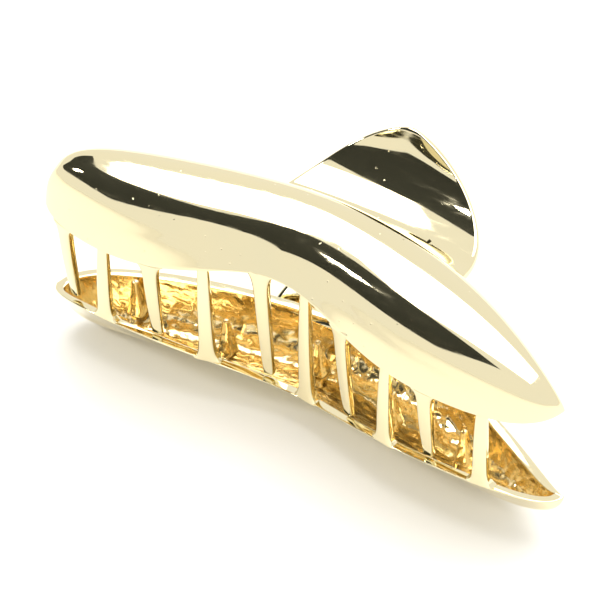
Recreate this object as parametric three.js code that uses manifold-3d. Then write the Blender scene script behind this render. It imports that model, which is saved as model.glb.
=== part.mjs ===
// Claw clip for hair: two cast jaws that turn on one pin, held shut by a coil spring.
// Millimetres. +X runs along the clip, -Y points to the teeth, +Y to the thumb levers, +Z is up.
// The clip lies on its side: the parting plane between the jaws is horizontal, and the clip rests on
// the lower jaw's crest and the tip of its lever.
// Every shape is worked out about the pin (y = 0, z = 0 in the parting plane) for the upper jaw.
// The lower jaw is turned over from it, with a flatter face and teeth that fall between the upper ones.

import * as THREE from 'three';
import { ParametricGeometry } from 'three/addons/geometries/ParametricGeometry.js';
import { mergeVertices } from 'three/addons/utils/BufferGeometryUtils.js';
import Module from 'manifold-3d';

const wasm = await Module();
wasm.setup();

// ---- Driving sizes -------------------------------------------------------------------------

// Shell of one jaw: a thin dome over a leaf-shaped outline
const LENGTH = 108.2;          // end to end
const HALF_HEIGHT = 22.8;      // parting plane to crest
const FRONT_REACH = 28.5;      // pin to the tooth edge near the ends
const LEFT_REACH = 23;         // pin to the left end point of the outline
const RIGHT_REACH = 20.5;      // and to the right one
const BACK_SET = 2;            // pin to the back edge at mid-length
const WALL = 1.8;              // thickness of the casting
const HEAD_ARCH = 6.3;         // how far the tooth edge is set back at mid-length
const ARCH_CENTRE = -0.04;     // the deepest point of that arch, as a share of the length
const ARCH_WIDTH = 0.176;      // its half-width, as on a bell curve, as a share of the length
const EDGE_GAP = 8.6;          // parting plane to the tooth edge near the ends
const EDGE_RISE = 5.4;         // extra height of the tooth edge over the arch
const BACK_GAP = 12.5;         // parting plane to the back edge
const TIP_GAP = 11;            // parting plane to the edge at the two end points
const LEFT_TAPER = 0.5;        // how the back edge closes on the blunt left end
const RIGHT_TAPER = 1.1;       // and on the pointed right end
const LEFT_DOME = 18;          // how late the crest drops towards the left end
const RIGHT_DOME = 3;          // and towards the right end

// Teeth. Their places along the clip are shares of its length, from the middle.
const UPPER_TEETH = [-0.448, -0.268, -0.074, 0.095, 0.274];
const LOWER_TEETH = [-0.368, -0.176, 0.0055, 0.188, 0.377];
const TOOTH_WIDTH = 2.9;
const TOOTH_DEPTH = 1.9;
const TOOTH_CURL = 1.3;        // how far the tip bends inwards
const TOOTH_CLEARANCE = 0.5;   // tip to the other jaw's edge
const TOOTH_TIP = 0.72;        // width of the tip, as a share of the tooth's
const TOOTH_FLARE = 0.9;       // extra width of the root, as a share of the width
const FLARE_FADE = 1.1;        // how far below the root it fades
const TOOTH_GUSSET = 1.9;      // extra depth of the root, on the inside
const GUSSET_FADE = 2.4;
const UPPER_EMBED = 3.6;       // how far up the roots run inside the upper wall
const LOWER_EMBED = 2.2;       // and inside the lower wall, which leans back more
const ROOT_RECESS = 3;         // how far the roots lean back to stay inside

// Short inner teeth, standing on the inside of each shell
const INNER_TEETH = [-0.388, -0.211, -0.046, 0.125, 0.279];
const INNER_HEIGHT = 8;
const INNER_SETBACK = 13;      // behind the tooth edge
const INNER_BASE = 3.4;
const INNER_TOP = 1.1;

// Thumb lever
const LEVER_X = 2.9;           // centre of the hinge and lever along the clip
const LEVER_WIDTH = 42;
const LEVER_REACH = 17;        // pin to the tip
const LEVER_SKEW = -2.5;       // how far the tip lies to one side of the middle
const LEVER_ROOT = 1.2;        // how far the sheet starts inside the back wall
const VALLEY_DROP = 0.2;       // back edge to the bottom of the valley behind the crest
const LEVER_THICKNESS = 1.8;
const LEVER_DISH = 1.4;

// Hinge: lower lugs inside, upper lugs outside, spring between
const PIN_RADIUS = 1.5;
const PIN_CLEARANCE = 0.1;
const HEAD_LIP = 1.1;          // how far each head stands out from the pin
const HEAD_THICKNESS = 1.2;
const HEAD_EDGE = 0.35;        // chamfer round each head
const LUG_WALL = 2.6;          // metal round the bore
const LUG_THICKNESS = 2.4;
const LUG_SPREAD = 1;          // how far the back of the lug leans out towards its root
const LUG_EMBED = 0.9;         // how far the lug reaches into the back wall
const SIDE_GAP = 0.4;          // between any two neighbours along the pin

// Torsion spring
const WIRE_RADIUS = 0.7;
const COIL_CLEARANCE = 1.4;    // pin to the inside of the coil
const FULL_TURNS = 6;
const PART_TURN = 0.3;
const TURN_GAP = 0.35;
const LEG_REACH = 0.54;        // end of each leg behind the pin, as a share of the lever's reach
const LEG_GAP = 0.4;           // leg to the underside of the lever

// Fineness of the facets
const SHELL_STEPS = 40;
const SECTION_STEPS = 14;
const LEVER_STEPS = 9;
const LEVER_COLUMNS = 10;
const ROUND_STEPS = 24;
const WIRE_STEPS_PER_TURN = 11;

// ---- Sizes that follow from them -------------------------------------------------------------

const HALF_LENGTH = LENGTH / 2;
const LEVER_VALLEY = BACK_GAP - VALLEY_DROP;
const BORE_RADIUS = PIN_RADIUS + PIN_CLEARANCE;
const HEAD_RADIUS = PIN_RADIUS + HEAD_LIP;
const LUG_RADIUS = BORE_RADIUS + LUG_WALL;
const COIL_RADIUS = PIN_RADIUS + COIL_CLEARANCE + WIRE_RADIUS;

// ---- Solids --------------------------------------------------------------------------------

// Joins the shared corners of a geometry and drops the triangles that this leaves without area.
function weld(geometry) {
  const bare = geometry.clone();
  bare.deleteAttribute('normal');
  bare.deleteAttribute('uv');
  const merged = mergeVertices(bare, 1e-4);
  const corners = merged.index.array;
  const kept = [];
  for (let i = 0; i < corners.length; i += 3) {
    const [a, b, c] = [corners[i], corners[i + 1], corners[i + 2]];
    if (a !== b && b !== c && c !== a) {
      kept.push(a, b, c);
    }
  }
  merged.setIndex(kept);
  return merged;
}

function solidOf(geometry) {
  const merged = weld(geometry);
  return new wasm.Manifold(new wasm.Mesh({
    numProp: 3,
    vertProperties: new Float32Array(merged.attributes.position.array),
    triVerts: new Uint32Array(merged.index.array),
  }));
}

function geometryOf(solid) {
  const { vertProperties, triVerts } = solid.getMesh();
  const geometry = new THREE.BufferGeometry();
  geometry.setAttribute('position', new THREE.BufferAttribute(vertProperties, 3));
  geometry.setIndex(new THREE.BufferAttribute(triVerts, 1));
  geometry.computeVertexNormals();
  return geometry;
}

// Mirror image in the parting plane, with its faces still pointing out.
function mirrored(geometry) {
  const copy = weld(geometry);
  copy.scale(1, 1, -1);
  const corners = Array.from(copy.index.array);
  copy.setIndex(corners.reverse());
  copy.computeVertexNormals();
  return copy;
}

// Skins a row of rings that all have the same number of points, and closes both ends.
function loft(rings) {
  const last = rings.length - 1;
  const centre = (ring) => ring.reduce((sum, p) => sum.add(p), new THREE.Vector3()).divideScalar(ring.length);
  const rows = [rings[0].map(() => centre(rings[0])), ...rings, rings[last].map(() => centre(rings[last]))];
  const around = rings[0].length;
  const at = (u, v, target) => {
    const row = rows[Math.round(v * (rows.length - 1))];
    target.copy(row[Math.round(u * around) % around]);
  };
  return new ParametricGeometry(at, around, rows.length - 1);
}

// ---- Jaw shell -----------------------------------------------------------------------------

// How much the arch counts at c, which runs from -1 at the left end to 1 at the right end.
const bell = (c) => Math.exp(-(((c / 2 - ARCH_CENTRE) / ARCH_WIDTH) ** 2));

// How far the outline has opened at c.
const openness = (c) => Math.sqrt(Math.max(0, 1 - c ** 6));

const fromLeft = (c, left, right) => THREE.MathUtils.lerp(left, right, (c + 1) / 2);

const tipReach = (c) => fromLeft(c, LEFT_REACH, RIGHT_REACH);

function frontY(c) {
  const straight = THREE.MathUtils.lerp(-tipReach(c), -FRONT_REACH, openness(c));
  return straight + HEAD_ARCH * bell(c) * openness(c);
}

function backY(c) {
  const opened = Math.max(0, 1 - c * c) ** fromLeft(c, LEFT_TAPER, RIGHT_TAPER);
  return THREE.MathUtils.lerp(-tipReach(c), -BACK_SET, opened);
}

// Height of the jaw's edge, from the tooth edge (across = 0) to the back edge (across = 1).
function edgeZ(c, across) {
  const front = EDGE_GAP + EDGE_RISE * bell(c);
  const along = THREE.MathUtils.lerp(front, BACK_GAP, across);
  return THREE.MathUtils.lerp(along, TIP_GAP, c ** 8);
}

// Section of a shell, as pairs of the share of the depth from the tooth edge and the share of the rise.
function section(face, back) {
  const corners = [[0, 0], ...face, [0.63, 1], ...back, [1, 0]];
  return new THREE.CatmullRomCurve3(corners.map(([across, rise]) => new THREE.Vector3(across, rise, 0)));
}

const BACK = [[0.83, 0.86], [0.96, 0.48]];

// The upper face rises steeply to a soft ridge with a flat crest behind it. The lower face leans back at
// about 45 degrees. The back of both falls away steeply.
const upperSection = section([[0.1, 0.4], [0.2, 0.72], [0.32, 0.9], [0.46, 0.97]], BACK);
const lowerSection = section([[0.24, 0.45], [0.42, 0.8]], BACK);

// A point of a shell: along = 0 is the tooth edge, 1 the back edge; inset 0 is the outside.
function shellPoint(profile, c, along, inset, target = new THREE.Vector3()) {
  const { x: across, y: rise } = profile.getPointAt(along);
  const front = frontY(c) + inset * openness(c);
  const back = backY(c) - inset * openness(c);
  const edge = edgeZ(c, across);
  const drop = Math.abs(c) ** (c < 0 ? LEFT_DOME : RIGHT_DOME);
  const lift = (HALF_HEIGHT - inset - edge) * Math.sqrt(Math.max(0, 1 - drop));
  return target.set(
    c * (HALF_LENGTH - inset),
    THREE.MathUtils.lerp(front, back, across),
    edge + lift * rise,
  );
}

// Height of the wall, just above its inner face, at a share of the shell's depth.
function ceiling(profile, c, across) {
  let [low, high] = [0, 1];
  for (let i = 0; i < 20; i += 1) {
    const along = (low + high) / 2;
    if (profile.getPointAt(along).x < across) {
      low = along;
    } else {
      high = along;
    }
  }
  return shellPoint(profile, c, low, 0.8 * WALL).z;
}

function shell(profile) {
  const outside = SECTION_STEPS;
  const around = 2 * SECTION_STEPS + 2;
  return new ParametricGeometry((u, v, target) => {
    const c = -Math.cos(Math.PI * u);
    const row = Math.round(v * around) % around;
    const inset = row <= outside ? 0 : WALL;
    const step = row <= outside ? row : around - 1 - row;
    shellPoint(profile, c, step / SECTION_STEPS, inset, target);
  }, SHELL_STEPS, around);
}

// ---- Teeth ---------------------------------------------------------------------------------

// Chamfered rectangle across a tooth, in the plane z = height.
function toothRing(x, y, height, width, depth) {
  const chamfer = 0.3 * Math.min(width, depth);
  const [w, d] = [width / 2, depth / 2];
  const corners = [
    [w, -d + chamfer], [w, d - chamfer], [w - chamfer, d], [-w + chamfer, d],
    [-w, d - chamfer], [-w, -d + chamfer], [-w + chamfer, -d], [w - chamfer, -d],
  ];
  return corners.map(([dx, dy]) => new THREE.Vector3(x + dx, y + dy, height));
}

// A tooth hangs from the edge of the shell: its front is flush with the shell, and its root thickens
// inwards to a web. The first ring lies inside the wall, which leans back from the tooth edge.
function tooth(place, embed) {
  const x = place * LENGTH;
  const c = 2 * place;
  const top = edgeZ(c, 0);
  const drop = 2 * top - TOOTH_CLEARANCE;
  const rings = [];
  for (const share of [-embed / drop, 0.015, 0.06, 0.1, 0.16, 0.3, 0.5, 0.7, 0.88, 1]) {
    const below = Math.max(0, share);
    const flare = 1 + TOOTH_FLARE * Math.exp(-below * drop / FLARE_FADE);
    const taper = THREE.MathUtils.lerp(1, TOOTH_TIP, below ** 2);
    const gusset = TOOTH_GUSSET * Math.exp(-below * drop / GUSSET_FADE);
    const recess = share < 0 ? ROOT_RECESS : 0;
    const depth = TOOTH_DEPTH * taper + gusset - recess;
    const front = frontY(c) + TOOTH_CURL * below ** 2 + recess;
    rings.push(toothRing(x, front + depth / 2, top - share * drop, TOOTH_WIDTH * flare * taper, depth));
  }
  return loft(rings.reverse());
}

function innerTooth(place, profile) {
  const x = place * LENGTH;
  const c = 2 * place;
  const across = INNER_SETBACK / (backY(c) - frontY(c));
  const y = frontY(c) + INNER_SETBACK;
  const root = ceiling(profile, c, across);
  const post = new THREE.CylinderGeometry(INNER_BASE / 2, INNER_TOP / 2, INNER_HEIGHT, 8);
  post.rotateX(Math.PI / 2);
  post.translate(x, y, root - INNER_HEIGHT / 2);
  return post;
}

// ---- Thumb lever ---------------------------------------------------------------------------

const leverTipZ = HALF_HEIGHT - 0.35 * LEVER_THICKNESS;
const leverRise = leverTipZ - LEVER_VALLEY;

// Middle of the lever's sheet in the YZ plane, from inside the back wall to the tip.
const leverProfile = new THREE.CatmullRomCurve3([
  new THREE.Vector3(0, -BACK_SET - LEVER_ROOT, LEVER_VALLEY + 0.18 * leverRise),
  new THREE.Vector3(0, 0.07 * LEVER_REACH, LEVER_VALLEY),
  new THREE.Vector3(0, 0.45 * LEVER_REACH, LEVER_VALLEY + 0.09 * leverRise),
  new THREE.Vector3(0, 0.78 * LEVER_REACH, LEVER_VALLEY + 0.48 * leverRise),
  new THREE.Vector3(0, LEVER_REACH, leverTipZ),
]);

const leverHalfWidth = (s) => LEVER_WIDTH / 2 * Math.max(0, 1 - s ** 1.8) ** 0.68;

function leverRing(s) {
  const middle = leverProfile.getPointAt(s);
  const tangent = leverProfile.getTangentAt(s);
  const up = new THREE.Vector3(0, -tangent.z, tangent.y);
  const half = leverHalfWidth(s);
  const dish = LEVER_DISH * Math.min(1, 2 * s) * half / (LEVER_WIDTH / 2);
  const follow = Math.max(0, 1 - s / 0.4) ** 2;
  const point = (share, side) => {
    const x = LEVER_X + LEVER_SKEW * s * s + share * half;
    const edgeShift = backY(x / HALF_LENGTH) - backY(LEVER_X / HALF_LENGTH);
    const lift = side * LEVER_THICKNESS / 2 - dish * (1 - share * share);
    return middle.clone().addScaledVector(up, lift).add(new THREE.Vector3(x, edgeShift * follow, 0));
  };
  const ring = [];
  for (let i = 0; i <= LEVER_COLUMNS; i += 1) {
    ring.push(point(2 * i / LEVER_COLUMNS - 1, 1));
  }
  for (let i = LEVER_COLUMNS; i >= 0; i -= 1) {
    ring.push(point(2 * i / LEVER_COLUMNS - 1, -1));
  }
  return ring;
}

function lever() {
  const rings = [];
  for (let i = 0; i <= LEVER_STEPS; i += 1) {
    const s = 1 - (1 - i / LEVER_STEPS) ** 1.6;
    rings.push(leverRing(Math.min(s, 0.995)));
  }
  return loft(rings);
}

// Height of the lever's underside at its lowest, above a point behind the pin.
function leverUnderside(y) {
  let [low, high] = [0, 1];
  for (let i = 0; i < 20; i += 1) {
    const s = (low + high) / 2;
    if (leverProfile.getPointAt(s).y < y) {
      low = s;
    } else {
      high = s;
    }
  }
  return leverProfile.getPointAt(low).z - LEVER_THICKNESS / 2 - LEVER_DISH;
}

// ---- Hinge ---------------------------------------------------------------------------------

const coilLength = (FULL_TURNS + PART_TURN) * (2 * WIRE_RADIUS + TURN_GAP);
const lowerLugStart = coilLength / 2 + WIRE_RADIUS + SIDE_GAP;
const upperLugStart = lowerLugStart + LUG_THICKNESS + SIDE_GAP;
const headStart = upperLugStart + LUG_THICKNESS + SIDE_GAP;

// One ear, from the pin up into the lever's root, starting at distance `start` from the middle.
function lug(start, side) {
  const outline = new THREE.Shape();
  outline.moveTo(LUG_RADIUS, 0);
  outline.lineTo(LUG_RADIUS + LUG_SPREAD, BACK_GAP - 0.3);
  outline.lineTo(-BACK_SET - LUG_EMBED, BACK_GAP + LUG_EMBED);
  outline.lineTo(-LUG_RADIUS, 0);
  outline.absarc(0, 0, LUG_RADIUS, Math.PI, 2 * Math.PI, false);
  const plate = new THREE.ExtrudeGeometry(outline, {
    depth: LUG_THICKNESS,
    bevelEnabled: false,
    curveSegments: ROUND_STEPS / 2,
  });
  // The outline's x and y become the clip's y and z, and the extrusion runs along x.
  plate.applyMatrix4(new THREE.Matrix4().makeBasis(
    new THREE.Vector3(0, 1, 0), new THREE.Vector3(0, 0, 1), new THREE.Vector3(1, 0, 0)));
  const near = side > 0 ? start : -start - LUG_THICKNESS;
  plate.translate(LEVER_X + near, 0, 0);
  return plate;
}

function pinBore() {
  const bore = new THREE.CylinderGeometry(BORE_RADIUS, BORE_RADIUS, 2 * headStart, ROUND_STEPS);
  bore.rotateZ(Math.PI / 2);
  bore.translate(LEVER_X, 0, 0);
  return bore;
}

function hingePin() {
  const end = headStart + HEAD_THICKNESS;
  const rim = end - HEAD_EDGE;
  const flat = HEAD_RADIUS - HEAD_EDGE;
  const profile = [
    [0, -end], [flat, -end], [HEAD_RADIUS, -rim], [HEAD_RADIUS, -headStart],
    [PIN_RADIUS, -headStart], [PIN_RADIUS, headStart],
    [HEAD_RADIUS, headStart], [HEAD_RADIUS, rim], [flat, end], [0, end],
  ].map(([r, along]) => new THREE.Vector2(r, along));
  const pin = new THREE.LatheGeometry(profile, ROUND_STEPS);
  pin.rotateZ(-Math.PI / 2);
  return pin;
}

// Middle line of the spring wire: a straight leg, the coil, and a second leg, each leg leaving the
// coil along its tangent.
class SpringWire extends THREE.Curve {
  constructor() {
    super();
    const legY = LEG_REACH * LEVER_REACH;
    const legZ = leverUnderside(legY) - LEG_GAP - WIRE_RADIUS;
    const reach = Math.hypot(legY, legZ);
    this.leave = Math.atan2(legZ, legY) + Math.acos(COIL_RADIUS / reach);
    this.leg = Math.sqrt(reach ** 2 - COIL_RADIUS ** 2);
    this.sweep = 2 * Math.PI * (FULL_TURNS + 1) - 2 * this.leave;
    this.coil = this.sweep * COIL_RADIUS;
    this.total = this.coil + 2 * this.leg;
  }

  getPoint(t, target = new THREE.Vector3()) {
    const along = t * this.total - this.leg;
    const turned = THREE.MathUtils.clamp(along / this.coil, 0, 1);
    const angle = -this.leave - turned * this.sweep;
    const past = along - turned * this.coil;
    return target.set(
      (turned - 0.5) * coilLength,
      COIL_RADIUS * Math.cos(angle) + past * Math.sin(angle),
      COIL_RADIUS * Math.sin(angle) - past * Math.cos(angle),
    );
  }
}

function torsionSpring() {
  const wire = new THREE.Shape();
  wire.absarc(0, 0, WIRE_RADIUS, 0, 2 * Math.PI, false);
  const path = new SpringWire();
  const steps = Math.round(path.total / (2 * Math.PI * COIL_RADIUS) * WIRE_STEPS_PER_TURN);
  return new THREE.ExtrudeGeometry(wire, { steps, curveSegments: 6, bevelEnabled: false, extrudePath: path });
}

// ---- Castings ------------------------------------------------------------------------------

// One jaw as a single casting, with its own section, teeth and lugs.
function jaw(profile, teeth, embed, lugStart) {
  const pieces = [
    lever(),
    lug(lugStart, 1),
    lug(lugStart, -1),
    ...teeth.map((place) => tooth(place, embed)),
    ...INNER_TEETH.map((place) => innerTooth(place, profile)),
  ];
  const joined = pieces.reduce((whole, piece) => whole.add(solidOf(piece)), solidOf(shell(profile)));
  return geometryOf(joined.subtract(solidOf(pinBore())));
}

// ---- Assembly ------------------------------------------------------------------------------

function piece(name, geometry, material) {
  const mesh = new THREE.Mesh(geometry, new THREE.MeshStandardMaterial(material));
  mesh.name = name;
  return mesh;
}

const gold = { color: 0xe6cf8f, roughness: 0.12, metalness: 1 };
const steel = { color: 0xc9c9c6, roughness: 0.3, metalness: 1 };

const upperCasting = jaw(upperSection, UPPER_TEETH, UPPER_EMBED, upperLugStart);
const lowerCasting = jaw(lowerSection, LOWER_TEETH, LOWER_EMBED, lowerLugStart);
const upperJaw = piece('upper_jaw', upperCasting, gold);
const lowerJaw = piece('lower_jaw', mirrored(lowerCasting), gold);

const pin = piece('hinge_pin', weld(hingePin()), { ...gold, roughness: 0.2 });
pin.position.x = LEVER_X;

const spring = piece('torsion_spring', weld(torsionSpring()), steel);
spring.position.x = LEVER_X;

const clip = new THREE.Group();
clip.add(lowerJaw, upperJaw, pin, spring);

// The origin is the middle of the footprint, on the surface the clip lies on.
const bounds = new THREE.Box3().setFromObject(clip, true);
const middle = bounds.getCenter(new THREE.Vector3());
clip.position.set(-middle.x, -middle.y, -bounds.min.z);

const part = new THREE.Group();
part.add(clip);

export default part;
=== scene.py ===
import math

import bmesh
import bpy
import numpy as np
from bpy.props import FloatProperty, FloatVectorProperty, IntProperty, PointerProperty
from bpy.types import Operator, Panel, PropertyGroup
from mathutils import Matrix, Vector


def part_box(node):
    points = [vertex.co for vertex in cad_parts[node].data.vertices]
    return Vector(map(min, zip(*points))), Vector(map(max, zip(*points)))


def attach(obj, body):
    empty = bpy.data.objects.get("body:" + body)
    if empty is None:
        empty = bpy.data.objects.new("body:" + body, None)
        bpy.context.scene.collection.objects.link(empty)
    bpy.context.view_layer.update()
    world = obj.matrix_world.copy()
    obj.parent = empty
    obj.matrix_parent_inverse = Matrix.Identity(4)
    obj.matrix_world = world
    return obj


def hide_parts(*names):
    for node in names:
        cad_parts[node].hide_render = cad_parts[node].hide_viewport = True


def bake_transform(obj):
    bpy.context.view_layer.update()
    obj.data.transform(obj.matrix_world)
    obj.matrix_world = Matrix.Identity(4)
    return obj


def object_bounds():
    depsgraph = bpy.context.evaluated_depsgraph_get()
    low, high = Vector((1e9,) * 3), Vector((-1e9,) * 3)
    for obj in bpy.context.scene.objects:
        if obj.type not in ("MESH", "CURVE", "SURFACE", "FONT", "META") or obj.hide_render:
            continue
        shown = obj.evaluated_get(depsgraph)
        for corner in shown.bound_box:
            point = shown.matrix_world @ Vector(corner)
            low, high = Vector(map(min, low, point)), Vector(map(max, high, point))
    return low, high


bl_info = {
    "name": "Claw Clip",
    "version": (1, 0, 0),
    "blender": (4, 5, 0),
    "location": "3D View > Sidebar > Claw Clip",
    "description": "Two gold-plated cast jaws on a sprung hinge, with the light and camera to show them",
    "category": "Object",
}

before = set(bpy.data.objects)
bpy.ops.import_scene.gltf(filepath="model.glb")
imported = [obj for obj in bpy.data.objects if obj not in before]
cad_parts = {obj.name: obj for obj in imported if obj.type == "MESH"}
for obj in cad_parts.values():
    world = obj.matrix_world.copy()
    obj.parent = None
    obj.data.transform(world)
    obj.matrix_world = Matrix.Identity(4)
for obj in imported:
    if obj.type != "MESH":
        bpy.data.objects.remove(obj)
CAD_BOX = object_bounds()
PIN_BOX = [Vector(end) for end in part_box("hinge_pin")]
PIN = (PIN_BOX[0] + PIN_BOX[1]) / 2
MIDDLE_X = (CAD_BOX[0].x + CAD_BOX[1].x) / 2
LOWER, UPPER = "lower", "upper"


# ---- Settings ------------------------------------------------------------------------------


def mm(value):
    return value / 1000


def size(label, millimetres, text):
    """A length, kept in metres."""
    return FloatProperty(name=label, description=text, default=mm(millimetres), unit="LENGTH", precision=5)


def share(label, value, text):
    """A plain number, such as a share or an exponent."""
    return FloatProperty(name=label, description=text, default=value)


def linear(code):
    """Linear colour of an sRGB hex code."""
    channels = [int(code[i:i + 2], 16) / 255 for i in (1, 3, 5)]
    return [v / 12.92 if v <= 0.04045 else ((v + 0.055) / 1.055) ** 2.4 for v in channels]


def colour(label, code, text):
    return FloatVectorProperty(
        name=label, description=text, default=linear(code), subtype="COLOR", min=0, max=1)


class ClipShellSizes(PropertyGroup):
    length: FloatProperty(
        name="Length", description="End to end", unit="LENGTH", precision=5,
        default=CAD_BOX[1].x - CAD_BOX[0].x)
    half_height: size("Half Height", 22.8, "Parting plane to crest")
    front_reach: size("Front Reach", 28.5, "Pin to the tooth edge near the ends")
    left_reach: size("Left Reach", 23, "Pin to the left end point of the outline")
    right_reach: size("Right Reach", 20.5, "Pin to the right end point of the outline")
    back_set: size("Back Set", 2, "Pin to the back edge at mid-length")
    wall: size("Wall", 1.8, "Thickness of the casting")
    head_arch: size("Head Arch", 6.3, "How far the tooth edge is set back at mid-length")
    edge_gap: size("Edge Gap", 8.6, "Parting plane to the tooth edge near the ends")
    edge_rise: size("Edge Rise", 5.4, "Extra height of the tooth edge over the arch")
    back_gap: size("Back Gap", 12.5, "Parting plane to the back edge")
    tip_gap: size("Tip Gap", 11, "Parting plane to the edge at the two end points")
    rim_round: size("Rim Rounding", 0.45, "Radius of the outer edge of the rim")
    arch_centre: share("Arch Centre", -0.04, "Deepest point of the arch, as a share of the length")
    arch_width: share("Arch Width", 0.176, "Half-width of the arch, as a share of the length")
    left_taper: share("Left Taper", 0.5, "How the back edge closes on the blunt left end")
    right_taper: share("Right Taper", 1.1, "How the back edge closes on the pointed right end")
    left_dome: share("Left Dome", 18, "How late the crest drops towards the left end")
    right_dome: share("Right Dome", 3, "How late the crest drops towards the right end")
    mark_size: size("Hammer Mark", 1.9, "Spacing of the hammer marks inside the shell")
    mark_depth: size("Hammer Mark Depth", 0.2, "Depth of the hammer marks")


class ClipToothSizes(PropertyGroup):
    width: size("Tooth Width", 2.9, "Width of a tooth")
    depth: size("Tooth Depth", 1.9, "Thickness of a tooth from front to back")
    curl: size("Tooth Curl", 1.3, "How far the tip bends inwards")
    clearance: size("Tooth Clearance", 0.5, "Tip to the other jaw's edge")
    tip: share("Tooth Tip", 0.72, "Width of the tip, as a share of the tooth's")
    flare: share("Root Flare", 0.9, "Extra width of the root, as a share of the width")
    flare_fade: size("Flare Fade", 1.1, "How far below the root the flare fades")
    gusset: size("Gusset", 0.2, "Extra depth of the root, on the inside")
    gusset_fade: size("Gusset Fade", 2.4, "How far below the root the gusset fades")
    upper_embed: size("Upper Root", 3.6, "How far up the roots run inside the upper wall")
    lower_embed: size("Lower Root", 2.2, "How far down the roots run inside the lower wall")
    recess: size("Root Recess", 3, "How far the root leans back to stay inside the wall")
    post_height: size("Inner Tooth Height", 8, "Height of the short inner teeth")
    post_setback: size("Inner Tooth Setback", 13, "Inner teeth behind the tooth edge")
    post_base: size("Inner Tooth Base", 3.4, "Width of an inner tooth at its root")
    post_top: size("Inner Tooth Top", 1.1, "Width of an inner tooth at its top")


class ClipLeverSizes(PropertyGroup):
    centre: size("Hinge Place", 2.9, "Middle of the hinge and lever along the clip")
    width: size("Lever Width", 42, "Width of the thumb lever")
    reach: size("Lever Reach", 17, "Pin to the tip of the lever")
    skew: size("Lever Skew", -2.5, "How far the tip lies to one side of the middle")
    root: size("Lever Root", 1.2, "How far the sheet starts inside the back wall")
    valley_drop: size("Valley Drop", 0.2, "Back edge to the bottom of the valley behind the crest")
    thickness: size("Lever Thickness", 1.8, "Thickness of the lever")
    dish: size("Lever Dish", 1.4, "How far the middle of the lever is hollowed")


class ClipHingeSizes(PropertyGroup):
    pin_radius: size("Pin Radius", 1.5, "Radius of the hinge pin")
    pin_clearance: size("Pin Clearance", 0.1, "Pin to bore, on the radius")
    head_lip: size("Head Lip", 1.1, "How far each head stands out from the pin")
    head_thickness: size("Head Thickness", 1.2, "Thickness of each head")
    lug_wall: size("Lug Wall", 2.6, "Metal round the bore")
    lug_thickness: size("Lug Thickness", 2.4, "Thickness of each lug")
    side_gap: size("Side Gap", 0.4, "Gap between neighbours along the pin")
    wire_radius: size("Wire Radius", 0.7, "Radius of the spring wire")
    coil_clearance: size("Coil Clearance", 1.4, "Pin to the inside of the coil")
    turn_gap: size("Turn Gap", 0.35, "Gap between the turns")
    leg_gap: size("Leg Gap", 0.4, "Leg to the underside of the lever")
    leg_reach: share("Leg Reach", 0.54, "End of each leg, as a share of the lever's reach")
    full_turns: IntProperty(name="Full Turns", description="Whole turns of the coil", default=6)


class ClipFinish(PropertyGroup):
    plate: colour("Plate", "#ece2bd", "Pale gold of the polished outside")
    plate_warm: colour("Plate Warm", "#f4e6bb", "Warmer gold in the cloudy patches of the plating")
    # Painted light: this deeper, more saturated gold of the inside stands in for light that bounces many
    # times between the gold walls of the shell
    plate_deep_painted_bounce: colour("Plate Deep Painted Bounce", "#ffe09c", "Deeper gold of the hammered inside")
    steel: colour("Steel", "#c9c9c6", "Bare spring wire")


class ClipStageSettings(PropertyGroup):
    azimuth: FloatProperty(
        name="Azimuth", description="Camera round the clip", default=math.radians(35.14), subtype="ANGLE")
    elevation: FloatProperty(
        name="Elevation", description="Camera above the horizon", default=math.radians(45.31),
        subtype="ANGLE")
    roll: FloatProperty(
        name="Roll", description="Tilt of the camera", default=math.radians(-3.1), subtype="ANGLE")
    distance: size("Distance", 740, "Camera to its aim")
    lens: FloatProperty(name="Lens", description="Focal length", default=242.4, unit="CAMERA")
    aim: FloatVectorProperty(
        name="Aim", description="Point the camera looks at, from the pin", unit="LENGTH",
        default=(mm(-5.64), mm(-15.91), mm(3.54)))
    sky: FloatProperty(name="Sky", description="Strength of the white surround", default=1.0)


# ---- Mesh tools ----------------------------------------------------------------------------


def smooth_path(corners):
    """A curve through the corners, without loops, as a function of the share of its length."""
    p = np.array(corners, float)
    p = np.vstack([2 * p[0] - p[1], p, 2 * p[-1] - p[-2]])
    points = []
    for i in range(1, len(p) - 2):
        steps = [math.sqrt(np.linalg.norm(p[i + k + 1] - p[i + k])) for k in (-1, 0, 1)]
        before, here, after = steps
        rise = p[i + 1] - p[i]
        leave = here * ((p[i] - p[i - 1]) / before - (p[i + 1] - p[i - 1]) / (before + here) + rise / here)
        arrive = here * (rise / here - (p[i + 2] - p[i]) / (here + after) + (p[i + 2] - p[i + 1]) / after)
        t = np.linspace(0, 1, 200)[:, None]
        cubic = 2 * p[i] - 2 * p[i + 1] + leave + arrive
        square = -3 * p[i] + 3 * p[i + 1] - 2 * leave - arrive
        points.append(((cubic * t + square) * t + leave) * t + p[i])
    points = np.vstack(points)
    lengths = np.r_[0, np.cumsum(np.linalg.norm(np.diff(points, axis=0), axis=1))]
    lengths /= lengths[-1]
    return lambda s: np.stack([np.interp(s, lengths, points[:, k]) for k in range(points.shape[1])], -1)


def corner(start, control, end, steps):
    """Points of a rounded corner between two points, both ends included, as a new second axis."""
    t = np.linspace(0, 1, steps)[None, :, None]
    start, control, end = (v[:, None, :] for v in (start, control, end))
    return (1 - t) ** 2 * start + 2 * t * (1 - t) * control + t ** 2 * end


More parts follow.
